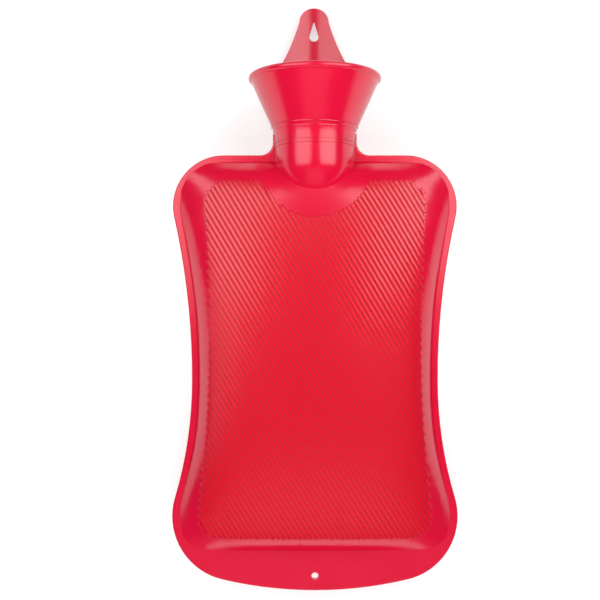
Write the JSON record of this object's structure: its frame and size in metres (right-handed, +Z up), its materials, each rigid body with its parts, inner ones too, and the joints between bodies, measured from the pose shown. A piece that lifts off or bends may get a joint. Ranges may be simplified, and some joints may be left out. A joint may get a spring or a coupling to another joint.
{
  "type": "hot water bottle",
  "caption": "Ribbed rubber hot water bottle with a flared filling funnel, a hanging tab and a screw stopper in a threaded neck bush.",
  "frame": {"origin": "middle of the bottle's length and width, on the surface it lies on", "axes": "+Y from the tail to the neck, +X across, +Z up out of the ribbed front panel; the bottle lies on its back with its neck raised by about 5 degrees"},
  "size_m": [0.1762, 0.3741, 0.0825],
  "materials": {
    "red_rubber": "glossy moulded",
    "brass": "satin",
    "washer_rubber": "matt",
    "stopper_plastic": "gloss"
  },
  "bodies": {
    "bottle": {"bottle_body": "red_rubber", "neck_bush": "brass"},
    "washer": {"stopper_washer": "washer_rubber"},
    "plug": {"stopper": "stopper_plastic"}
  },
  "joints": [
    {"name": "stopper_lift", "type": "slide", "parent": "bottle", "child": "washer", "axis": [0, 0.9963, 0.0865], "range_m": [0, 0.016]},
    {"name": "stopper_turn", "type": "hinge", "parent": "washer", "child": "plug", "pos_m": [0, 0.09596, 0.03857], "axis": [0, 0.9963, 0.0865], "range_deg": [0, 1440]}
  ],
  "couplings": [
    {"joint": "stopper_lift", "follows": "stopper_turn", "m_per_rad": 0.00063662}
  ]
}
